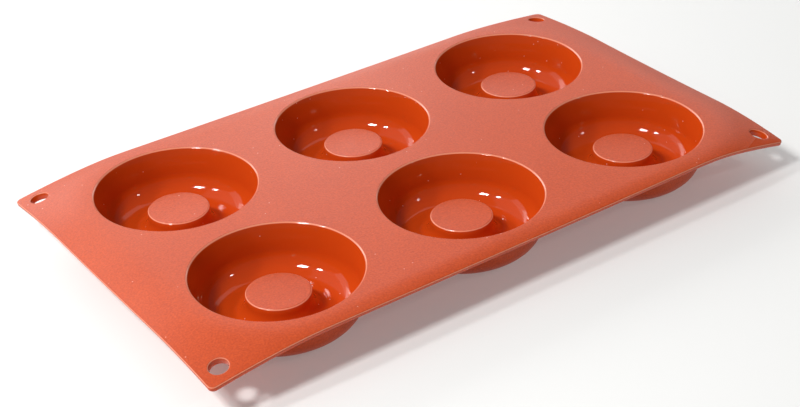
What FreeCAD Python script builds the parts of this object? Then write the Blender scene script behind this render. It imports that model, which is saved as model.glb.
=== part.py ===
# Silicone savarin mould: a thin flexible sheet with a grid of ring-shaped cups in it.
# Millimetres. +Z is up and +X runs along the long side. The origin is on the table
# under the centre of the sheet, so the cups stand on the plane Z = 0.
#
# The mould is one moulding, so it is one body. The flat middle of the sheet comes first,
# then its free border, which bends down under its own weight, and the trim of its outline.
# One cup and its hollow follow, then their grid, the hanging holes and the small radii.

import FreeCAD, Part
from enum import IntEnum
import math
import os
import Sketcher

DIMENSIONS = {
    # The sheet and its free border
    "sheet_length": 300.0,
    "sheet_width": 175.0,
    "sheet_thickness": 2.2,
    "corner_radius": 2.5,
    "flat_rim_width": 2.5,
    "border_bend_radius": 45.0,
    "border_droop_angle": 12.0,
    # The grid of cups
    "cup_columns": 3,
    "cup_rows": 2,
    "cup_pitch_long": 93.0,
    "cup_pitch_short": 83.8,
    # One cup, measured on its hollow, with the wall round it
    "mouth_diameter": 71.5,
    "cavity_depth": 21.8,
    "cup_wall": 1.2,
    "wall_draft_angle": 5.5,
    "outer_floor_radius": 10.5,
    "inner_floor_radius": 9.0,
    "least_floor_land": 0.6,
    "least_post_side": 0.4,
    # The post that leaves the hole in the cake
    "post_diameter": 27.2,
    "post_drop": 10.5,
    "post_draft_angle": 3.0,
    # The small radii of the moulding
    "lip_radius": 0.8,
    "post_edge_radius": 0.6,
    # The holes that the mould is hung up by
    "hole_diameter": 8.0,
    "hole_inset": 8.3,
}

# Heights above the table
TOP = "(dims.cavity_depth + dims.cup_wall)"
FLOOR = "dims.cup_wall"
POST_TOP = f"({TOP} - dims.post_drop)"
SHEET_MIDDLE = f"({TOP} - dims.sheet_thickness / 2)"
CLEAR_ABOVE = 5.0

# Places in plan. The cups hold the sheet flat for a little way round them, and it bends
# down outside.
LAST_COLUMN = "((dims.cup_columns - 1) / 2 * dims.cup_pitch_long)"
LAST_ROW = "((dims.cup_rows - 1) / 2 * dims.cup_pitch_short)"
FLAT_RADIUS = "(dims.mouth_diameter / 2 + dims.flat_rim_width)"
FLAT_X = f"({LAST_COLUMN} + {FLAT_RADIUS})"
FLAT_Y = f"({LAST_ROW} + {FLAT_RADIUS})"
BEYOND_X = f"(dims.sheet_length / 2 - {LAST_COLUMN})"
BEYOND_Y = f"(dims.sheet_width / 2 - {LAST_ROW})"
BORDER_REACH = f"({BEYOND_X} + {BEYOND_Y} - {FLAT_RADIUS})"

# Where the cavity's sides would meet its floor if the corners were sharp, and the share
# of their radii that fits: two wide radii are made smaller in a trough too narrow for them,
# and beside a post too low for them with the wall that goes under it.
WALL_FOOT = "(dims.mouth_diameter / 2 - dims.cavity_depth * tan(dims.wall_draft_angle))"
POST_HEIGHT = "(dims.cavity_depth - dims.post_drop)"
POST_FOOT = f"(dims.post_diameter / 2 + {POST_HEIGHT} * tan(dims.post_draft_angle))"
OUTER_TANGENT = "(dims.outer_floor_radius * tan(45 - dims.wall_draft_angle / 2))"
INNER_TANGENT = "(dims.inner_floor_radius * tan(45 - dims.post_draft_angle / 2))"
TROUGH_SHARE = (
    f"(({WALL_FOOT} - {POST_FOOT} - dims.least_floor_land) / ({OUTER_TANGENT} + {INNER_TANGENT}))"
)
WALL_TURN = "(dims.cup_wall * tan(45 - dims.post_draft_angle / 2))"
POST_END = f"(max(dims.post_edge_radius; {WALL_TURN}) + dims.least_post_side)"
HEIGHT_SHARE = f"(({POST_HEIGHT} - {POST_END}) / {INNER_TANGENT})"
RADIUS_SHARE = f"min(1; {TROUGH_SHARE}; {HEIGHT_SHARE})"

doc = FreeCAD.newDocument("savarin_mould")


class Mark(IntEnum):
    """The sketcher's numbers for the ends of an edge, its centre, and the sketch's own lines."""

    START = 1
    END = 2
    CENTRE = 3
    ORIGIN = -1
    AXIS_Y = -2


START, END, CENTRE = Mark.START, Mark.END, Mark.CENTRE
ORIGIN, AXIS_Y = Mark.ORIGIN, Mark.AXIS_Y


def fill_spreadsheet():
    sheet = doc.addObject("Spreadsheet::Sheet", "dims")
    for row, (alias, value) in enumerate(DIMENSIONS.items(), start=1):
        sheet.set(f"A{row}", alias)
        sheet.set(f"B{row}", str(value))
        sheet.setAlias(f"B{row}", alias)
    doc.recompute()
    return sheet


sheet = fill_spreadsheet()


def value_of(expression):
    """The number that an expression over the spreadsheet gives now."""
    return float(sheet.evalExpression(expression.replace("dims.", "")))


def new_sketch(body, name, plane, moved=("0", "0", "0")):
    """A sketch on one of the body's planes, moved along its own x, y and normal."""
    sketch = body.newObject("Sketcher::SketchObject", name)
    role = plane + "_Plane"
    support = next(f for f in body.Origin.OriginFeatures if f.Role == role)
    sketch.AttachmentSupport = [(support, "")]
    sketch.MapMode = "FlatFace"
    for axis, expression in zip("xyz", moved):
        sketch.setExpression(f"AttachmentOffset.Base.{axis}", expression)
    return sketch


def dimension(sketch, name, constraint, expression):
    """A named dimension of the sketch, bound to the spreadsheet."""
    index = sketch.addConstraint(constraint)
    sketch.renameConstraint(index, name)
    sketch.setExpression(f"Constraints.{name}", expression)


def place_point(sketch, name, edge, end, x, y):
    """Dimensions from the sketch's origin to one end of an edge."""
    for direction, expression in (("DistanceX", x), ("DistanceY", y)):
        if expression is not None:
            apart = Sketcher.Constraint(direction, ORIGIN, START, edge, end, value_of(expression))
            dimension(sketch, f"{name}_{direction[-1].lower()}", apart, expression)


def line(sketch, start, end):
    first = FreeCAD.Vector(*start, 0)
    last = FreeCAD.Vector(*end, 0)
    return sketch.addGeometry(Part.LineSegment(first, last))


def arc(sketch, centre, radius, from_angle, to_angle):
    circle = Part.Circle(FreeCAD.Vector(*centre, 0), FreeCAD.Vector(0, 0, 1), radius)
    turned = (math.radians(from_angle), math.radians(to_angle))
    return sketch.addGeometry(Part.ArcOfCircle(circle, *turned))


def join(sketch, *ends):
    """Pairs of edge ends that coincide."""
    for (first, first_end), (second, second_end) in ends:
        sketch.addConstraint(Sketcher.Constraint("Coincident", first, first_end, second, second_end))


def smooth(sketch, *ends):
    """Pairs of edge ends that meet tangentially."""
    for (first, first_end), (second, second_end) in ends:
        sketch.addConstraint(Sketcher.Constraint("Tangent", first, first_end, second, second_end))


def level(sketch, *edges):
    for edge in edges:
        sketch.addConstraint(Sketcher.Constraint("Horizontal", edge))


def upright(sketch, *edges):
    for edge in edges:
        sketch.addConstraint(Sketcher.Constraint("Vertical", edge))


def rounded_rectangle(sketch, name, half_x, half_y, radius):
    """A centred rectangle with round corners, as four sides and four arcs."""
    x, y, r = (value_of(part) for part in (half_x, half_y, radius))
    right = line(sketch, (x, r - y), (x, y - r))
    top = line(sketch, (x - r, y), (r - x, y))
    left = line(sketch, (-x, y - r), (-x, r - y))
    bottom = line(sketch, (r - x, -y), (x - r, -y))
    corners = [
        arc(sketch, (x - r, y - r), r, 0, 90),
        arc(sketch, (r - x, y - r), r, 90, 180),
        arc(sketch, (r - x, r - y), r, 180, 270),
        arc(sketch, (x - r, r - y), r, 270, 360),
    ]
    sides = [right, top, left, bottom]
    for number, corner in enumerate(corners):
        after = sides[(number + 1) % 4]
        smooth(sketch, ((sides[number], END), (corner, START)), ((corner, END), (after, START)))
    upright(sketch, right, left)
    level(sketch, top, bottom)
    for corner in corners[1:]:
        sketch.addConstraint(Sketcher.Constraint("Equal", corners[0], corner))
    dimension(sketch, f"{name}_radius", Sketcher.Constraint("Radius", corners[0], r), radius)
    place_point(sketch, f"{name}_right", right, START, half_x, None)
    place_point(sketch, f"{name}_top", top, START, None, half_y)
    to_left = Sketcher.Constraint("DistanceX", left, START, ORIGIN, START, x)
    dimension(sketch, f"{name}_left", to_left, half_x)
    to_bottom = Sketcher.Constraint("DistanceY", bottom, START, ORIGIN, START, y)
    dimension(sketch, f"{name}_bottom", to_bottom, half_y)


def rectangle(sketch, name, half_x, half_y):
    """A centred rectangle with sharp corners."""
    x, y = value_of(half_x), value_of(half_y)
    corners = [(x, -y), (x, y), (-x, y), (-x, -y)]
    sides = [line(sketch, corners[n], corners[(n + 1) % 4]) for n in range(4)]
    join(sketch, *(((sides[n], END), (sides[(n + 1) % 4], START)) for n in range(4)))
    upright(sketch, sides[0], sides[2])
    level(sketch, sides[1], sides[3])
    place_point(sketch, f"{name}_corner", sides[0], END, half_x, half_y)
    sketch.addConstraint(Sketcher.Constraint("Symmetric", sides[0], END, sides[3], START, ORIGIN, START))


def add_flat_middle(body):
    """The middle of the sheet, round every cup, which stays flat."""
    outline = new_sketch(body, "flat_outline", "XY", ("0", "0", TOP))
    rounded_rectangle(outline, "flat", FLAT_X, FLAT_Y, FLAT_RADIUS)
    middle = body.newObject("PartDesign::Pad", "flat_middle")
    middle.Profile = outline
    middle.Reversed = True
    middle.setExpression("Length", "dims.sheet_thickness")
    doc.recompute()
    return outline


def add_border(body, path):
    """The free border: a section that curves down and runs on straight, swept round."""
    section = new_sketch(body, "border_section", "XZ")
    bend = value_of("dims.border_bend_radius")
    angle = value_of("dims.border_droop_angle")
    thick = value_of("dims.sheet_thickness")
    edge, top, reach = value_of(FLAT_X), value_of(TOP), value_of(BORDER_REACH)
    sine, cosine = math.sin(math.radians(angle)), math.cos(math.radians(angle))

    def on_arc(radius):
        return edge + radius * sine, top - bend + radius * cosine

    def run_on(point):
        return point[0] + reach * cosine, point[1] - reach * sine

    upper, lower = on_arc(bend), on_arc(bend - thick)
    outer_arc = arc(section, (edge, top - bend), bend, 90 - angle, 90)
    upper_line = line(section, upper, run_on(upper))
    end_line = line(section, run_on(upper), run_on(lower))
    lower_line = line(section, run_on(lower), lower)
    inner_arc = arc(section, (edge, top - bend), bend - thick, 90 - angle, 90)
    start_line = line(section, (edge, top - thick), (edge, top))
    smooth(section, ((outer_arc, START), (upper_line, START)), ((lower_line, END), (inner_arc, START)))
    join(
        section,
        ((upper_line, END), (end_line, START)),
        ((end_line, END), (lower_line, START)),
        ((inner_arc, END), (start_line, START)),
        ((start_line, END), (outer_arc, END)),
        ((outer_arc, CENTRE), (inner_arc, CENTRE)),
    )
    upright(section, start_line)
    section.addConstraint(Sketcher.Constraint("Perpendicular", upper_line, end_line))
    section.addConstraint(Sketcher.Constraint("Parallel", upper_line, lower_line))
    place_point(section, "edge", start_line, END, FLAT_X, TOP)
    place_point(section, "centre", outer_arc, CENTRE, FLAT_X, f"{TOP} - dims.border_bend_radius")
    place_point(section, "under", start_line, START, None, f"{TOP} - dims.sheet_thickness")
    slope = Sketcher.Constraint("Angle", upper_line, -math.radians(angle))
    dimension(section, "slope", slope, "-dims.border_droop_angle")
    dimension(section, "reach", Sketcher.Constraint("Distance", upper_line, reach), BORDER_REACH)

    border = body.newObject("PartDesign::AdditivePipe", "border")
    border.Profile = section
    border.Spine = (path, [f"Edge{n}" for n in range(1, 9)])
    border.Transition = "Transformed"
    doc.recompute()


def trim_outline(body):
    """The outline of the sheet: everything outside it is cut away."""
    waste = new_sketch(body, "waste_outline", "XY", ("0", "0", f"{TOP} + {CLEAR_ABOVE}"))
    swept = f"({BORDER_REACH} + dims.border_bend_radius)"
    rectangle(waste, "swept", f"{FLAT_X} + {swept}", f"{FLAT_Y} + {swept}")
    rounded_rectangle(waste, "sheet", "dims.sheet_length / 2", "dims.sheet_width / 2", "dims.corner_radius")
    trim = body.newObject("PartDesign::Pocket", "outline_trim")
    trim.Profile = waste
    trim.Type = "ThroughAll"
    doc.recompute()


def trough_section(body, name, outward, start, end):
    """Half the section of a cup, closed on its axis.

    outward is how far the section stands outside the face of the cavity. start and end are
    the heights of the section over the post and at the mouth.
    """
    place = (f"-{LAST_COLUMN}", "0", LAST_ROW)
    sketch = new_sketch(body, name, "XZ", place)
    wall_angle, post_angle = "dims.wall_draft_angle", "dims.post_draft_angle"
    wall_tilt = math.radians(value_of(wall_angle))
    post_tilt = math.radians(value_of(post_angle))
    floor = f"({FLOOR} - {outward})"
    mouth = (
        f"(dims.mouth_diameter / 2 + {outward} / cos({wall_angle})"
        f" - ({TOP} - {end}) * tan({wall_angle}))"
    )
    post = (
        f"(dims.post_diameter / 2 - {outward} / cos({post_angle})"
        f" + ({POST_TOP} - {start}) * tan({post_angle}))"
    )
    outer_radius = f"({RADIUS_SHARE} * dims.outer_floor_radius + {outward})"
    inner_radius = f"({RADIUS_SHARE} * dims.inner_floor_radius + {outward})"
    bottom, low, high = value_of(floor), value_of(start), value_of(end)
    wide, narrow = value_of(mouth), value_of(post)
    outer, inner = value_of(outer_radius), value_of(inner_radius)
    wall_foot = wide - (high - bottom) * math.tan(wall_tilt)
    post_foot = narrow + (low - bottom) * math.tan(post_tilt)
    outer_x = wall_foot - outer * math.tan(math.pi / 4 - wall_tilt / 2)
    inner_x = post_foot + inner * math.tan(math.pi / 4 - post_tilt / 2)
    outer_end = (outer_x + outer * math.cos(wall_tilt), bottom + outer * (1 - math.sin(wall_tilt)))
    inner_end = (inner_x - inner * math.cos(post_tilt), bottom + inner * (1 - math.sin(post_tilt)))

    over_post = line(sketch, (0, low), (narrow, low))
    post_side = line(sketch, inner_end, (narrow, low))
    inner_floor = arc(sketch, (inner_x, bottom + inner), inner, 180 + math.degrees(post_tilt), 270)
    land = line(sketch, (inner_x, bottom), (outer_x, bottom))
    outer_floor = arc(sketch, (outer_x, bottom + outer), outer, 270, 360 - math.degrees(wall_tilt))
    wall_side = line(sketch, outer_end, (wide, high))
    across = line(sketch, (wide, high), (0, high))
    axis = line(sketch, (0, high), (0, low))
    join(
        sketch,
        ((over_post, END), (post_side, END)),
        ((wall_side, END), (across, START)),
        ((across, END), (axis, START)),
        ((axis, END), (over_post, START)),
    )
    smooth(
        sketch,
        ((post_side, START), (inner_floor, START)),
        ((inner_floor, END), (land, START)),
        ((land, END), (outer_floor, START)),
        ((outer_floor, END), (wall_side, START)),
    )
    level(sketch, over_post, land, across)
    sketch.addConstraint(Sketcher.Constraint("PointOnObject", axis, START, AXIS_Y))
    sketch.addConstraint(Sketcher.Constraint("PointOnObject", axis, END, AXIS_Y))
    place_point(sketch, "post_edge", post_side, END, post, start)
    place_point(sketch, "mouth_edge", wall_side, END, mouth, end)
    place_point(sketch, "floor", land, START, None, floor)
    dimension(sketch, "outer_radius", Sketcher.Constraint("Radius", outer_floor, outer), outer_radius)
    dimension(sketch, "inner_radius", Sketcher.Constraint("Radius", inner_floor, inner), inner_radius)
    wall_slope = Sketcher.Constraint("Angle", wall_side, math.pi / 2 - wall_tilt)
    dimension(sketch, "wall_slope", wall_slope, f"90 - {wall_angle}")
    post_slope = Sketcher.Constraint("Angle", post_side, math.pi / 2 + post_tilt)
    dimension(sketch, "post_slope", post_slope, f"90 + {post_angle}")
    return sketch


def add_cup_grid(body):
    """One cup and its hollow, each turned about the cup's axis, and the grid of them."""
    over_post = f"({POST_TOP} - dims.cup_wall)"
    outside = trough_section(body, "cup_section", "dims.cup_wall", over_post, SHEET_MIDDLE)
    cup = body.newObject("PartDesign::Revolution", "cup")
    cup.Profile = outside
    cup.ReferenceAxis = (outside, ["V_Axis"])
    doc.recompute()
    inside = trough_section(body, "hollow_section", "0", POST_TOP, f"({TOP} + {CLEAR_ABOVE})")
    hollow = body.newObject("PartDesign::Groove", "hollow")
    hollow.Profile = inside
    hollow.ReferenceAxis = (inside, ["V_Axis"])
    doc.recompute()
    axes = {f.Role: f for f in body.Origin.OriginFeatures}
    grid = body.newObject("PartDesign::LinearPattern", "cup_grid")
    grid.Originals = [cup, hollow]
    grid.Direction = (axes["X_Axis"], [""])
    grid.Direction2 = (axes["Y_Axis"], [""])
    grid.setExpression("Length", f"2 * {LAST_COLUMN}")
    grid.setExpression("Length2", f"2 * {LAST_ROW}")
    grid.setExpression("Occurrences", "dims.cup_columns")
    grid.setExpression("Occurrences2", "dims.cup_rows")
    body.Tip = grid
    doc.recompute()


def add_holes(body):
    """The hanging hole in each corner of the sheet."""
    hole_x = "(dims.sheet_length / 2 - dims.hole_inset)"
    hole_y = "(dims.sheet_width / 2 - dims.hole_inset)"
    ring = new_sketch(body, "hole_outline", "XY", (f"-{hole_x}", f"-{hole_y}", f"{TOP} + {CLEAR_ABOVE}"))
    radius = value_of("dims.hole_diameter / 2")
    round_edge = Part.Circle(FreeCAD.Vector(0, 0, 0), FreeCAD.Vector(0, 0, 1), radius)
    circle = ring.addGeometry(round_edge)
    join(ring, ((circle, CENTRE), (ORIGIN, START)))
    dimension(ring, "hole_radius", Sketcher.Constraint("Radius", circle, radius), "dims.hole_diameter / 2")
    hole = body.newObject("PartDesign::Pocket", "hanging_hole")
    hole.Profile = ring
    hole.Type = "ThroughAll"
    doc.recompute()
    axes = {f.Role: f for f in body.Origin.OriginFeatures}
    corners = body.newObject("PartDesign::LinearPattern", "hanging_holes")
    corners.Originals = [hole]
    corners.Direction = (axes["X_Axis"], [""])
    corners.Direction2 = (axes["Y_Axis"], [""])
    corners.setExpression("Length", f"2 * {hole_x}")
    corners.setExpression("Length2", f"2 * {hole_y}")
    corners.Occurrences = 2
    corners.Occurrences2 = 2
    body.Tip = corners
    doc.recompute()


def round_edges(body, name, radius, wanted):
    """A fillet on every edge of the body that the test picks out."""
    base = body.Tip
    picked = [f"Edge{n}" for n, edge in enumerate(base.Shape.Edges, start=1) if wanted(edge)]
    if not picked:
        raise ValueError(f"no edge to round for {name}")
    fillet = body.newObject("PartDesign::Fillet", name)
    fillet.Base = (base, picked)
    fillet.setExpression("Radius", radius)
    body.Tip = fillet
    doc.recompute()


SAME = 0.01


def circle_at(edge, radius, height):
    """Whether the edge is a level circle of that radius at that height."""
    if edge.Curve.TypeId != "Part::GeomCircle":
        return False
    at_height = abs(edge.Curve.Center.z - height) < SAME
    level_circle = abs(abs(edge.Curve.Axis.z) - 1) < SAME
    return level_circle and at_height and abs(edge.Curve.Radius - radius) < SAME


def round_mouths_and_posts(body):
    top, post_top = value_of(TOP), value_of(POST_TOP)
    mouth = value_of("dims.mouth_diameter / 2")
    post = value_of("dims.post_diameter / 2")
    round_edges(body, "mouth_lips", "dims.lip_radius", lambda edge: circle_at(edge, mouth, top))
    round_edges(body, "post_edges", "dims.post_edge_radius", lambda edge: circle_at(edge, post, post_top))


def build_mould():
    body = doc.addObject("PartDesign::Body", "mould")
    body.Label = "mould"
    path = add_flat_middle(body)
    add_border(body, path)
    trim_outline(body)
    add_cup_grid(body)
    round_mouths_and_posts(body)
    add_holes(body)
    return body


def check_and_write(parts):
    """Stop on any failed object or shape, and then write each piece to its file."""
    for made in doc.Objects:
        if "Invalid" in made.State or "Error" in made.State:
            raise ValueError(f"{made.Name} has failed: {made.State}")
    for part in parts:
        if part.Shape.isNull() or not part.Shape.isValid() or len(part.Shape.Solids) != 1:
            raise ValueError(f"{part.Label} is not one sound solid")
    os.makedirs("parts", exist_ok=True)
    for part in parts:
        part.Shape.exportStep(f"parts/{part.Label}.step")
        box = part.Shape.optimalBoundingBox()
        size = f"{box.XLength:.1f} x {box.YLength:.1f} x {box.ZLength:.1f}"
        print(f"{part.Label}: {part.Shape.Volume:.0f} cubic millimetres, {size} mm")


check_and_write([build_mould()])
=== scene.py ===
import math

import bmesh
import bpy
import mathutils
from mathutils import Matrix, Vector


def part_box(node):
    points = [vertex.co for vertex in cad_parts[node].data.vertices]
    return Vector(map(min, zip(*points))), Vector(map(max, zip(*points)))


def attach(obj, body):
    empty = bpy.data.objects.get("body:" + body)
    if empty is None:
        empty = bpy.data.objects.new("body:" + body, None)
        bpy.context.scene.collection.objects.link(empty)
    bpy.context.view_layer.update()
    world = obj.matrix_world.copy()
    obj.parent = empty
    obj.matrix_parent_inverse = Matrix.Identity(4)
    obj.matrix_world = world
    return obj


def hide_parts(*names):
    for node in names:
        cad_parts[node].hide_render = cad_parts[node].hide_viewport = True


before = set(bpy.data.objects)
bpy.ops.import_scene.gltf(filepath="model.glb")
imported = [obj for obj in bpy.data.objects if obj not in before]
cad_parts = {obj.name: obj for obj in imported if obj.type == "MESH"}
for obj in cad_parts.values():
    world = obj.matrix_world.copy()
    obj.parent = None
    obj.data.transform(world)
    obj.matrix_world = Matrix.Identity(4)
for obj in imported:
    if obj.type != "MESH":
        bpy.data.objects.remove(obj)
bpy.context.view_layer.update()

# The photograph's view
# A long lens, about 73 mm on a 36 mm sensor, from the front left and 31 degrees above the
# sheet. Its place was solved from the round mouths and posts, so it is not level by 2.4 degrees.

MM = 0.001
view = bpy.data.cameras.new("photograph_view")
view.lens = 72.7
view.sensor_width = 36.0
camera = bpy.data.objects.new("photograph_view", view)
camera.location = (-354.2 * MM, -520.4 * MM, 377.3 * MM)
camera.rotation_euler = [math.radians(turn) for turn in (58.942, 2.421, -35.432)]
bpy.context.collection.objects.link(camera)
bpy.context.scene.camera = camera
bpy.context.scene.view_settings.view_transform = "Standard"

# The cup
# Each cup is a ring-shaped trough of silicone about 1.2 mm thick, moulded round a post that
# leaves the hole in the cake. Its wall leans out so that the cake slips off, and its lip,
# its floor and the edge of its post are rounded by the tool that moulded it.

cad_low, cad_high = (Vector(corner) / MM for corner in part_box("mould"))
TOP = cad_high.z
SHEET_THICKNESS = 2.2
CUP_WALL = 1.2
POST_DROP = 10.5
MOUTH_RADIUS = 35.75
POST_RADIUS = 13.6
WALL_DRAFT = math.radians(5.5)
POST_DRAFT = math.radians(3.0)
OUTER_FLOOR_RADIUS = 10.5
INNER_FLOOR_RADIUS = 9.0
LIP_RADIUS = 0.8
POST_EDGE_RADIUS = 0.5
ROOT_RADIUS = 1.5
RECESS_EDGE_RADIUS = 1.0
# 2 is a true arc. The small edges are a little flatter than that in their middle, and the
# sheet stays flat up to the lip, with a narrow ring of its own there.
TRUE_ARC = 2.0
BROKEN_EDGE = 1.3
FLAT_LIP = 0.12
ROUND_STEPS = 128
LIP_STEPS = 6
POST_EDGE_STEPS = 5
HOLLOW_FLOOR_STEPS = 20
OUTSIDE_FLOOR_STEPS = 10
POST_TOP_SHARES = (0.97, 0.7, 0.35, 0.0)
AT_THE_AXIS = 1e-6


def arc_reach(share, roundness):
    """How far out a quarter round is there: 1 for a true arc, less where it is flattened."""
    across, up = math.cos(share * math.pi / 2), math.sin(share * math.pi / 2)
    return (across ** roundness + up ** roundness) ** (-1 / roundness)


def arc(centre, radius, start, end, steps, roundness=TRUE_ARC):
    """Points of an arc from one angle to another, in radians, flattened or not."""
    points = []
    for step in range(steps + 1):
        share = step / steps
        turn = start + (end - start) * share
        reach = radius * arc_reach(share, roundness)
        points.append((centre[0] + reach * math.cos(turn), centre[1] + reach * math.sin(turn)))
    return points


def cup_profile(outward, shelf, shelf_radius, post_edge_radius, roundness, floor_steps):
    """Radius and height from the sheet's face, down the wall, round the floor, up the post.

    outward is how far this face stands outside the hollow, and shelf is the height of the
    face of the sheet that it runs into.
    """
    floor = CUP_WALL - outward
    post_top = TOP - POST_DROP - outward

    def wall_at(height):
        """The radius of the wall at that height."""
        lean = (TOP - height) * math.tan(WALL_DRAFT)
        return MOUTH_RADIUS + outward / math.cos(WALL_DRAFT) - lean

    def post_at(height):
        """The radius of the post at that height."""
        rise = TOP - POST_DROP - height
        return POST_RADIUS - outward / math.cos(POST_DRAFT) + rise * math.tan(POST_DRAFT)

    outer = OUTER_FLOOR_RADIUS + outward
    inner = INNER_FLOOR_RADIUS + outward
    outer_x = wall_at(floor) - outer * math.tan(math.pi / 4 - WALL_DRAFT / 2)
    inner_x = post_at(floor) + inner * math.tan(math.pi / 4 - POST_DRAFT / 2)
    lip_z = shelf - shelf_radius
    lip_x = wall_at(lip_z) + shelf_radius / math.cos(WALL_DRAFT)
    edge_z = post_top - post_edge_radius
    edge_x = post_at(edge_z) - post_edge_radius / math.cos(POST_DRAFT)
    points = [(lip_x + FLAT_LIP, shelf)]
    points += arc(
        (lip_x, lip_z), shelf_radius, math.pi / 2, math.pi - WALL_DRAFT, LIP_STEPS, roundness)
    points += arc((outer_x, floor + outer), outer, -WALL_DRAFT, -math.pi / 2, floor_steps)
    points += arc((inner_x, floor + inner), inner, -math.pi / 2, POST_DRAFT - math.pi, floor_steps)
    points += arc(
        (edge_x, edge_z), post_edge_radius, POST_DRAFT, math.pi / 2, POST_EDGE_STEPS, roundness)
    return points + [(edge_x * share, post_top) for share in POST_TOP_SHARES]


def circle(centre, radius, height, steps):
    """The points of a level circle."""
    turns = [2 * math.pi * step / steps for step in range(steps)]
    x, y = centre
    return [(x + radius * math.cos(turn), y + radius * math.sin(turn), height) for turn in turns]


def ring_of(mesh, radius, height):
    """The vertices of one circle round the cup's axis, or the single one at the axis."""
    if radius < AT_THE_AXIS:
        return [mesh.verts.new((0, 0, height))]
    return [mesh.verts.new(point) for point in circle((0, 0), radius, height, ROUND_STEPS)]


def skin_rings(mesh, rings, polished=(), highlighted=()):
    """Faces between each ring and the next, which may be a single vertex.

    polished and highlighted are the numbers of the rings that came from a polished part of the
    tool, and of those on an edge, which get a painted pale highlight.
    """
    for number, ring in enumerate(rings):
        for vertex in ring:
            vertex[mesh.verts.layers.float["polish"]] = float(number in polished)
            vertex[mesh.verts.layers.float["edge"]] = float(number in highlighted)
    for first, second in zip(rings, rings[1:]):
        for step in range(len(first)):
            after = (step + 1) % len(first)
            if len(second) == 1:
                mesh.faces.new((first[step], first[after], second[0]))
            else:
                mesh.faces.new((first[step], first[after], second[after], second[step]))


def new_mesh():
    """An empty mesh whose vertices know how polished they are and whether they get a painted edge
    highlight.
    """
    mesh = bmesh.new()
    mesh.verts.layers.float.new("polish")
    mesh.verts.layers.float.new("edge")
    return mesh


def to_object(mesh, name):
    """An object of that mesh, which was made in millimetres."""
    bmesh.ops.scale(mesh, vec=(MM, MM, MM), verts=mesh.verts)
    data = bpy.data.meshes.new(name)
    mesh.to_mesh(data)
    mesh.free()
    return bpy.data.objects.new(name, data)


HOLLOW = cup_profile(
    0.0, TOP, LIP_RADIUS, POST_EDGE_RADIUS, BROKEN_EDGE, HOLLOW_FLOOR_STEPS)
OUTSIDE = cup_profile(
    CUP_WALL, TOP - SHEET_THICKNESS, ROOT_RADIUS, RECESS_EDGE_RADIUS, TRUE_ARC, OUTSIDE_FLOOR_STEPS)
# The polish runs from the lip down and up again to the matte top of the post.
lip_rings = range(2, LIP_STEPS)
matte_post_top = len(HOLLOW) - len(POST_TOP_SHARES) - 1
post_edge_rings = range(matte_post_top - POST_EDGE_STEPS + 1, matte_post_top)
cup_mesh = new_mesh()
# The rings round the lip and the post's edge get a painted pale highlight.
skin_rings(cup_mesh, [ring_of(cup_mesh, *point) for point in HOLLOW],
           polished=range(lip_rings[0], matte_post_top), highlighted=(*lip_rings, *post_edge_rings))
skin_rings(cup_mesh, [ring_of(cup_mesh, *point) for point in OUTSIDE])
cup = to_object(cup_mesh, "cup_master")

# The sheet
# The cups hang from a sheet 2.2 mm thick, with a small round all along its edge and a hole in
# each corner to hang it up by, inside a collar that stands below the sheet. It is so soft that
# its free border sinks under its own weight, a little differently at each corner.

LAST_COLUMN = 93.0
LAST_ROW = 41.9
HALF_LENGTH = (cad_high.x - cad_low.x) / 2
HALF_WIDTH = (cad_high.y - cad_low.y) / 2
CORNER_RADIUS = 2.5
EDGE_RADIUS = 0.35
HOLE_RADIUS = 4.0
HOLE_INSET = 8.3
COLLAR_DEPTH = 3.3
COLLAR_WIDTH = 1.8
# The faces of the sheet stay flat up to this far from its edge and from its holes.
FLAT_INSET = 0.7
# Outside this radius round the cups the border bends down. The angles are in degrees, one
# for each corner, and the sides between them sink by that many millimetres more.
FLAT_RADIUS = 38.25
BEND_RADIUS = 45.0
DROOP = {(-1, 1): 12.5, (-1, -1): 11.0, (1, 1): 8.8, (1, -1): 16.2}
SIDE_SAG = {(-1, 0): 1.3, (1, 0): 0.8, (0, -1): 0.8, (0, 1): 0.6}
GRID_STEP = 3.0
CORNER_STEPS = 12
EDGE_STEPS = 4
HOLE_STEPS = 48
SLOPE_STEP = 0.05
# A sliver thinner than a hair along a border is left out, and the parts of the sheet are
# joined where their points are this close.
HAIR = 0.001
SHEET_SEAM = 0.0005
SAME_PLACE = 1e-6

cup_centres = [(x, y) for x in (-LAST_COLUMN, 0, LAST_COLUMN) for y in (-LAST_ROW, LAST_ROW)]
hole_centres = [
    (sx * (HALF_LENGTH - HOLE_INSET), sy * (HALF_WIDTH - HOLE_INSET)) for sx, sy in DROOP]


def points_between(start, end):
    """The points of a straight side, without its two ends."""
    start, end = Vector(start), Vector(end)
    steps = round((end - start).length / GRID_STEP)
    return [tuple(start.lerp(end, step / steps)) for step in range(1, steps)]


def outline(inset, height):
    """The sheet's outline, drawn in by inset: four round corners and the sides between."""
    points = []
    for quarter, (sx, sy) in enumerate(((1, 1), (-1, 1), (-1, -1), (1, -1))):
        centre = (sx * (HALF_LENGTH - CORNER_RADIUS), sy * (HALF_WIDTH - CORNER_RADIUS))
        start, end = quarter * math.pi / 2, (quarter + 1) * math.pi / 2
        corner = arc(centre, CORNER_RADIUS - inset, start, end, CORNER_STEPS)
        if points:
            points += points_between(points[-1], corner[0])
        points += corner
    points += points_between(points[-1], points[0])
    return [(x, y, height) for x, y in points]


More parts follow.
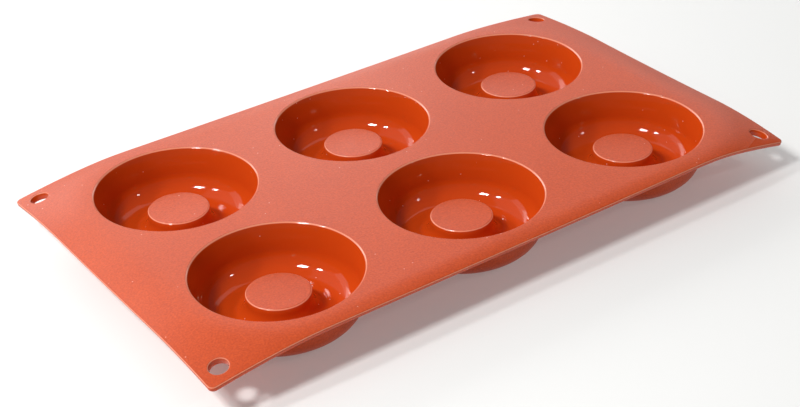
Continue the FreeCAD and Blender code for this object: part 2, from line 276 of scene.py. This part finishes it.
def flat_skin(mesh, height, mouth_radius, hole_radius):
    """One face of the sheet: its outline, the mouths, the holes, and a net of points between."""
    loops = [outline(FLAT_INSET, height)]
    loops += [circle(centre, mouth_radius, height, ROUND_STEPS) for centre in cup_centres]
    loops += [circle(centre, hole_radius, height, HOLE_STEPS) for centre in hole_centres]
    points, sides = [], []
    for loop in loops:
        first = len(points)
        points += [Vector(point[:2]) for point in loop]
        sides += [(first + n, first + (n + 1) % len(loop)) for n in range(len(loop))]

    def inside(point, margin):
        """Whether the point lies on this face, at least that far from all its borders."""
        beyond_x = HALF_LENGTH - FLAT_INSET - abs(point.x)
        beyond_y = HALF_WIDTH - FLAT_INSET - abs(point.y)
        if min(beyond_x, beyond_y) < margin:
            return False
        corner = CORNER_RADIUS - FLAT_INSET
        if max(beyond_x, beyond_y) < corner:
            if math.hypot(corner - beyond_x, corner - beyond_y) > corner - margin:
                return False
        if any((point - Vector(c)).length < mouth_radius + margin for c in cup_centres):
            return False
        return all((point - Vector(c)).length > hole_radius + margin for c in hole_centres)

    columns, rows = round(HALF_LENGTH * 2 / GRID_STEP), round(HALF_WIDTH * 2 / GRID_STEP)
    for column in range(1, columns):
        for row in range(1, rows):
            shift = 0.5 if row % 2 else 0.0
            point = Vector((
                (column + shift) * GRID_STEP - HALF_LENGTH, row * GRID_STEP - HALF_WIDTH))
            if inside(point, GRID_STEP / 2):
                points.append(point)
    net, _, triangles, *_ = mathutils.geometry.delaunay_2d_cdt(points, sides, [], 0, SAME_PLACE)
    vertices = [mesh.verts.new((point.x, point.y, height)) for point in net]
    for triangle in triangles:
        centre = sum((net[n] for n in triangle), Vector((0, 0))) / len(triangle)
        if inside(centre, HAIR):
            mesh.faces.new([vertices[n] for n in triangle])


def rounded_edge(loop_at, depth):
    """Loops from the upper face, round the edge, down the side and round to the lower face."""
    under = TOP - depth
    upper, lower = [loop_at(FLAT_INSET, TOP)], [loop_at(FLAT_INSET, under)]
    for step in range(EDGE_STEPS + 1):
        share = step / EDGE_STEPS
        reach = arc_reach(share, BROKEN_EDGE)
        inset = EDGE_RADIUS * (1 - reach * math.sin(share * math.pi / 2))
        drop = EDGE_RADIUS * (1 - reach * math.cos(share * math.pi / 2))
        upper.append(loop_at(inset, TOP - drop))
        lower.append(loop_at(inset, under + drop))
    return upper + lower[::-1]


def add_loops(mesh, loops):
    """Skins loops that start on the upper face: polished beyond it, with a painted highlight on the
    edge.
    """
    rings = [[mesh.verts.new(point) for point in loop] for loop in loops]
    skin_rings(mesh, rings, polished=range(2, len(rings)), highlighted=range(2, EDGE_STEPS + 1))


def droop_angle_at(x, y):
    """How steeply the border has sunk there, blended between the four corners."""
    across = min(max(x / LAST_COLUMN, -1.0), 1.0)
    along = min(max(y / LAST_ROW, -1.0), 1.0)
    weights = {(sx, sy): (1 + sx * across) / 2 * (1 + sy * along) / 2 for sx, sy in DROOP}
    return math.radians(sum(DROOP[corner] * weight for corner, weight in weights.items()))


def side_sag_at(x, y):
    """How much further the sheet has sunk there, between its corners."""
    sunk = 0.0
    for (sx, sy), depth in SIDE_SAG.items():
        across, along = (sx * x, y / HALF_WIDTH) if sx else (sy * y, x / HALF_LENGTH)
        start = (LAST_COLUMN if sx else LAST_ROW) + FLAT_RADIUS
        end = HALF_LENGTH if sx else HALF_WIDTH
        share = max(across - start, 0.0) / (end - start)
        sunk += depth * share ** 2 * (1 - along ** 2)
    return sunk


def droop_at(x, y):
    """How far the sheet has sunk there: a bend outside the cups, and then a straight slope."""
    out_x = max(abs(x) - LAST_COLUMN, 0.0)
    out_y = max(abs(y) - LAST_ROW, 0.0)
    out = max(math.hypot(out_x, out_y) - FLAT_RADIUS, 0.0)
    angle = droop_angle_at(x, y)
    bent = min(out, BEND_RADIUS * math.sin(angle))
    sunk = BEND_RADIUS - math.sqrt(BEND_RADIUS ** 2 - bent ** 2)
    return sunk + (out - bent) * math.tan(angle) + side_sag_at(x, y)


def let_droop(mesh):
    """Bends the flat sheet down, keeping its thickness square to its face."""
    near = SLOPE_STEP
    for vertex in mesh.verts:
        x, y, height = vertex.co
        slope_x = (droop_at(x + near, y) - droop_at(x - near, y)) / (2 * near)
        slope_y = (droop_at(x, y + near) - droop_at(x, y - near)) / (2 * near)
        normal = Vector((slope_x, slope_y, 1.0)).normalized()
        vertex.co = Vector((x, y, TOP - droop_at(x, y))) + (height - TOP) * normal


sheet_mesh = new_mesh()
flat_skin(sheet_mesh, TOP, HOLLOW[0][0], HOLE_RADIUS + FLAT_INSET)
flat_skin(sheet_mesh, TOP - SHEET_THICKNESS, OUTSIDE[0][0], HOLE_RADIUS + COLLAR_WIDTH)
add_loops(sheet_mesh, rounded_edge(outline, SHEET_THICKNESS))
for centre in hole_centres:
    bore = rounded_edge(
        lambda inset, height: circle(centre, HOLE_RADIUS + inset, height, HOLE_STEPS),
        COLLAR_DEPTH)
    collar = [circle(centre, HOLE_RADIUS + COLLAR_WIDTH, TOP - depth, HOLE_STEPS)
              for depth in (COLLAR_DEPTH, (COLLAR_DEPTH + SHEET_THICKNESS) / 2, SHEET_THICKNESS)]
    add_loops(sheet_mesh, bore + collar)
bmesh.ops.remove_doubles(sheet_mesh, verts=sheet_mesh.verts, dist=SHEET_SEAM)
let_droop(sheet_mesh)
mould = to_object(sheet_mesh, "savarin_mould")
bpy.context.collection.objects.link(mould)

# The silicone
# Platinum-cured silicone rubber, pigmented terracotta. The tool is spark-eroded where the
# sheet and the tops of the posts are moulded, which gives a fine matte grain, and polished
# in the cups, which mirror the room. Small rounded edges get a painted pale highlight.

MATTE_DARK = "#A8330A"
MATTE_LIGHT = "#DB571F"
POLISHED = "#C64410"
# The pale colour on the small rounded edges is a painted highlight, mixed in at this share.
PAINTED_EDGE_HIGHLIGHT = "#F0A184"
EDGE_HIGHLIGHT_SHARE = 0.75
SILICONE_IOR = 1.41
MATTE_ROUGHNESS = 0.4
POLISHED_ROUGHNESS = 0.06
# The real grain is a few hundredths of a millimetre wide, too fine to show. It is drawn
# coarser, as bumps and as specks of lighter and darker colour, over wide faint clouds.
GRAIN_WIDTH = 0.9
GRAIN_HEIGHT = 0.1
SPECKLE_WIDTH = 0.8
CLOUD_WIDTH = 60.0
CLOUD_STRENGTH = 0.3
# Past a line across the front right corner the sheet is part polished too. The way points
# to that corner from the middle, and the start is how many millimetres out the line lies.
CORNER_WAY = (0.436, -0.900, 0.0)
CORNER_START = 133.6
CORNER_POLISH = 0.6
# Dust clings to silicone, in small pale specks. Their reach is a share of the spacing.
DUST = "#F6D8C8"
DUST_SPACING = 6.5
DUST_REACH = 0.045
DUST_SHARE = 0.4


def linear(code):
    """A colour written as sRGB hex, as the shader's linear values."""
    parts = [int(code[n:n + 2], 16) / 255 for n in (1, 3, 5)]
    return [p / 12.92 if p <= 0.04045 else ((p + 0.055) / 1.055) ** 2.4 for p in parts] + [1.0]


def add_node(tree, kind, settings=None, inputs=None):
    """A node with its settings, and its inputs as values or as sockets to link."""
    node = tree.nodes.new(kind)
    for name, value in (settings or {}).items():
        setattr(node, name, value)
    for name, value in (inputs or {}).items():
        if isinstance(value, bpy.types.NodeSocket):
            tree.links.new(value, node.inputs[name])
        else:
            node.inputs[name].default_value = value
    return node


silicone = bpy.data.materials.new("moulded_silicone")
silicone.use_nodes = True
tree = silicone.node_tree
tree.nodes.clear()
place = add_node(tree, "ShaderNodeTexCoord").outputs["Object"]
moulded_polish = add_node(tree, "ShaderNodeAttribute", {"attribute_name": "polish"})
along_corner = add_node(
    tree, "ShaderNodeVectorMath", {"operation": "DOT_PRODUCT"}, {0: place, 1: CORNER_WAY})
in_corner = add_node(
    tree, "ShaderNodeMath", {"operation": "GREATER_THAN"},
    {0: along_corner.outputs["Value"], 1: CORNER_START * MM})
corner_polish = add_node(
    tree, "ShaderNodeMath", {"operation": "MULTIPLY"},
    {0: in_corner.outputs[0], 1: CORNER_POLISH})
polish = add_node(
    tree, "ShaderNodeMath", {"operation": "MAXIMUM"},
    {0: moulded_polish.outputs["Fac"], 1: corner_polish.outputs[0]})
grain = add_node(
    tree, "ShaderNodeTexNoise",
    inputs={"Vector": place, "Scale": 1 / (GRAIN_WIDTH * MM), "Detail": 3.0})
speckle = add_node(
    tree, "ShaderNodeTexNoise",
    inputs={"Vector": place, "Scale": 1 / (SPECKLE_WIDTH * MM), "Detail": 2.0})
cloud = add_node(
    tree, "ShaderNodeTexNoise",
    inputs={"Vector": place, "Scale": 1 / (CLOUD_WIDTH * MM), "Detail": 3.0})
clouded = add_node(
    tree, "ShaderNodeMath", {"operation": "MULTIPLY_ADD"},
    {0: cloud.outputs["Fac"], 1: CLOUD_STRENGTH, 2: -CLOUD_STRENGTH / 2})
patchy = add_node(
    tree, "ShaderNodeMath", {"operation": "ADD", "use_clamp": True},
    {0: clouded.outputs[0], 1: speckle.outputs["Fac"]})
matte_colour = add_node(
    tree, "ShaderNodeMix", {"data_type": "RGBA"},
    {"Factor": patchy.outputs[0], 6: linear(MATTE_DARK), 7: linear(MATTE_LIGHT)})
colour = add_node(
    tree, "ShaderNodeMix", {"data_type": "RGBA"},
    {"Factor": polish.outputs[0], 6: matte_colour.outputs[2], 7: linear(POLISHED)})
# Where the mesh marks an edge, the colour is mixed towards the painted edge highlight.
edge = add_node(tree, "ShaderNodeAttribute", {"attribute_name": "edge"})
painted_highlight_share = add_node(
    tree, "ShaderNodeMath", {"operation": "MULTIPLY"}, {0: edge.outputs["Fac"], 1: EDGE_HIGHLIGHT_SHARE})
highlighted_colour = add_node(
    tree, "ShaderNodeMix", {"data_type": "RGBA"},
    {"Factor": painted_highlight_share.outputs[0], 6: colour.outputs[2], 7: linear(PAINTED_EDGE_HIGHLIGHT)})
specks = add_node(
    tree, "ShaderNodeTexVoronoi", inputs={"Vector": place, "Scale": 1 / (DUST_SPACING * MM)})
dusty = add_node(
    tree, "ShaderNodeMath", {"operation": "LESS_THAN"},
    {0: specks.outputs["Distance"], 1: DUST_REACH})
dust_share = add_node(
    tree, "ShaderNodeMath", {"operation": "MULTIPLY"}, {0: dusty.outputs[0], 1: DUST_SHARE})
dusted_colour = add_node(
    tree, "ShaderNodeMix", {"data_type": "RGBA"},
    {"Factor": dust_share.outputs[0], 6: highlighted_colour.outputs[2], 7: linear(DUST)})
roughness = add_node(
    tree, "ShaderNodeMapRange",
    inputs={"Value": polish.outputs[0], "From Min": 0.0, "From Max": 1.0,
            "To Min": MATTE_ROUGHNESS, "To Max": POLISHED_ROUGHNESS})
grain_strength = add_node(
    tree, "ShaderNodeMapRange",
    inputs={"Value": polish.outputs[0], "From Min": 0.0, "From Max": 1.0,
            "To Min": 1.0, "To Max": 0.0})
grain_height = add_node(
    tree, "ShaderNodeMath", {"operation": "MULTIPLY"},
    {0: grain.outputs["Fac"], 1: grain_strength.outputs["Result"]})
bump = add_node(
    tree, "ShaderNodeBump",
    inputs={"Height": grain_height.outputs[0], "Distance": GRAIN_HEIGHT * MM, "Strength": 1.0})
surface = add_node(tree, "ShaderNodeBsdfPrincipled", inputs={
    "Base Color": dusted_colour.outputs[2],
    "Roughness": roughness.outputs["Result"],
    "Normal": bump.outputs["Normal"],
    "IOR": SILICONE_IOR,
})
add_node(tree, "ShaderNodeOutputMaterial", inputs={"Surface": surface.outputs["BSDF"]})

# The grid of cups
# The tool has the same cup six times over, in three columns and two rows, and all of it is
# one moulding with the sheet. So the cup is repeated over the grid and merged into the sheet.

COLUMNS, ROWS = 3, 2
CUP_SEAM = 0.01
grid = bpy.data.node_groups.new("grid_of_cups", "GeometryNodeTree")
interface = grid.interface
interface.new_socket("Geometry", in_out="INPUT", socket_type="NodeSocketGeometry")
sockets = {}
for name, kind in (("Cup", "NodeSocketObject"),
                   ("Columns", "NodeSocketInt"), ("Rows", "NodeSocketInt"),
                   ("Length", "NodeSocketFloat"), ("Width", "NodeSocketFloat"),
                   ("Silicone", "NodeSocketMaterial")):
    sockets[name] = interface.new_socket(name, in_out="INPUT", socket_type=kind)
interface.new_socket("Geometry", in_out="OUTPUT", socket_type="NodeSocketGeometry")
given = add_node(grid, "NodeGroupInput").outputs
places = add_node(grid, "GeometryNodeMeshGrid", inputs={
    "Size X": given["Length"], "Size Y": given["Width"],
    "Vertices X": given["Columns"], "Vertices Y": given["Rows"]})
one_cup = add_node(grid, "GeometryNodeObjectInfo", inputs={"Object": given["Cup"]})
cups = add_node(grid, "GeometryNodeInstanceOnPoints", inputs={
    "Points": places.outputs["Mesh"], "Instance": one_cup.outputs["Geometry"]})
real = add_node(grid, "GeometryNodeRealizeInstances", inputs={"Geometry": cups.outputs["Instances"]})
joined = add_node(grid, "GeometryNodeJoinGeometry")
grid.links.new(given["Geometry"], joined.inputs[0])
grid.links.new(real.outputs["Geometry"], joined.inputs[0])
merged = add_node(grid, "GeometryNodeMergeByDistance", inputs={
    "Geometry": joined.outputs["Geometry"], "Distance": CUP_SEAM * MM})
shaded = add_node(grid, "GeometryNodeSetShadeSmooth", inputs={"Geometry": merged.outputs["Geometry"]})
dressed = add_node(grid, "GeometryNodeSetMaterial", inputs={
    "Geometry": shaded.outputs["Geometry"], "Material": given["Silicone"]})
add_node(grid, "NodeGroupOutput", inputs={"Geometry": dressed.outputs["Geometry"]})

repeat = mould.modifiers.new("grid_of_cups", "NODES")
repeat.node_group = grid
for name, value in (("Cup", cup), ("Columns", COLUMNS), ("Rows", ROWS),
                    ("Length", 2 * LAST_COLUMN * MM), ("Width", 2 * LAST_ROW * MM),
                    ("Silicone", silicone)):
    repeat[sockets[name].identifier] = value
bpy.context.view_layer.update()
evaluated = mould.evaluated_get(bpy.context.evaluated_depsgraph_get())
finished = bpy.data.meshes.new_from_object(evaluated)
mould.modifiers.remove(repeat)
mould.data = finished
finished.name = "savarin_mould"
bpy.data.objects.remove(cup)
closed = bmesh.new()
closed.from_mesh(finished)
bmesh.ops.recalc_face_normals(closed, faces=closed.faces)
closed.to_mesh(finished)
closed.free()
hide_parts("mould")
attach(mould, "root")

# The table and the light
# A plain table of matte white paper, which shows soft shadows and no reflections, between
# white walls and under a white ceiling. Two small soft boxes on the left light the mould,
# with a weak one at the front right, and the polished cups mirror all of them.

TABLE_COLOUR = "#E0E0DE"
TABLE_REACH = 6.0
TABLE_ROUGHNESS = 0.8
TABLE_GLOW = 0.18
ROOM_COLOUR = "#FFFFFF"
ROOM_GLOW = 0.13
table_data = bpy.data.meshes.new("table")
table_corners = [(sx * TABLE_REACH, sy * TABLE_REACH, 0)
                 for sx, sy in ((-1, -1), (1, -1), (1, 1), (-1, 1))]
table_data.from_pydata(table_corners, [], [(0, 1, 2, 3)])
table = bpy.data.objects.new("table", table_data)
bpy.context.collection.objects.link(table)
table_paper = bpy.data.materials.new("white_paper")
table_paper.use_nodes = True
paper = table_paper.node_tree.nodes["Principled BSDF"]
paper.inputs["Base Color"].default_value = linear(TABLE_COLOUR)
paper.inputs["Roughness"].default_value = TABLE_ROUGHNESS
paper.inputs["Emission Color"].default_value = linear(ROOM_COLOUR)
paper.inputs["Emission Strength"].default_value = TABLE_GLOW
table_data.materials.append(table_paper)


def add_light(name, azimuth, elevation, distance, size, watts):
    """A soft box that far from the mould, in a direction given in degrees, facing the mould."""
    data = bpy.data.lights.new(name, "AREA")
    data.shape = "RECTANGLE"
    data.size, data.size_y = size
    data.energy = watts
    lamp = bpy.data.objects.new(name, data)
    turn, rise = math.radians(azimuth), math.radians(elevation)
    way = Vector((math.cos(turn) * math.cos(rise), math.sin(turn) * math.cos(rise), math.sin(rise)))
    lamp.location = way * distance
    lamp.rotation_euler = (-way).to_track_quat("-Z", "Y").to_euler()
    bpy.context.collection.objects.link(lamp)


# Azimuth and elevation in degrees, distance and size in metres, and watts.
add_light("key_front", -169, 52.3, 1.12, (0.18, 0.16), 7.7)
add_light("key_back", 164.5, 46, 1.4, (0.125, 0.125), 5.0)
add_light("right", -53, 36, 1.25, (0.06, 0.06), 0.8)
add_light("backdrop_left", 86, 25, 0.9, (0.95, 0.36), 2.8)
add_light("backdrop_right", 43, 20, 0.9, (0.7, 0.26), 1.1)
add_light("wall_left", 115, 27, 1.2, (1.3, 0.5), 2.2)
add_light("ceiling_left", 120, 52, 1.2, (1.3, 0.6), 1.0)
add_light("ceiling_right", 48, 56, 1.2, (0.8, 0.5), 0.85)
world = bpy.data.worlds.new("studio")
world.use_nodes = True
sky = world.node_tree.nodes["Background"]
sky.inputs["Color"].default_value = linear(ROOM_COLOUR)
sky.inputs["Strength"].default_value = ROOM_GLOW
bpy.context.scene.world = world
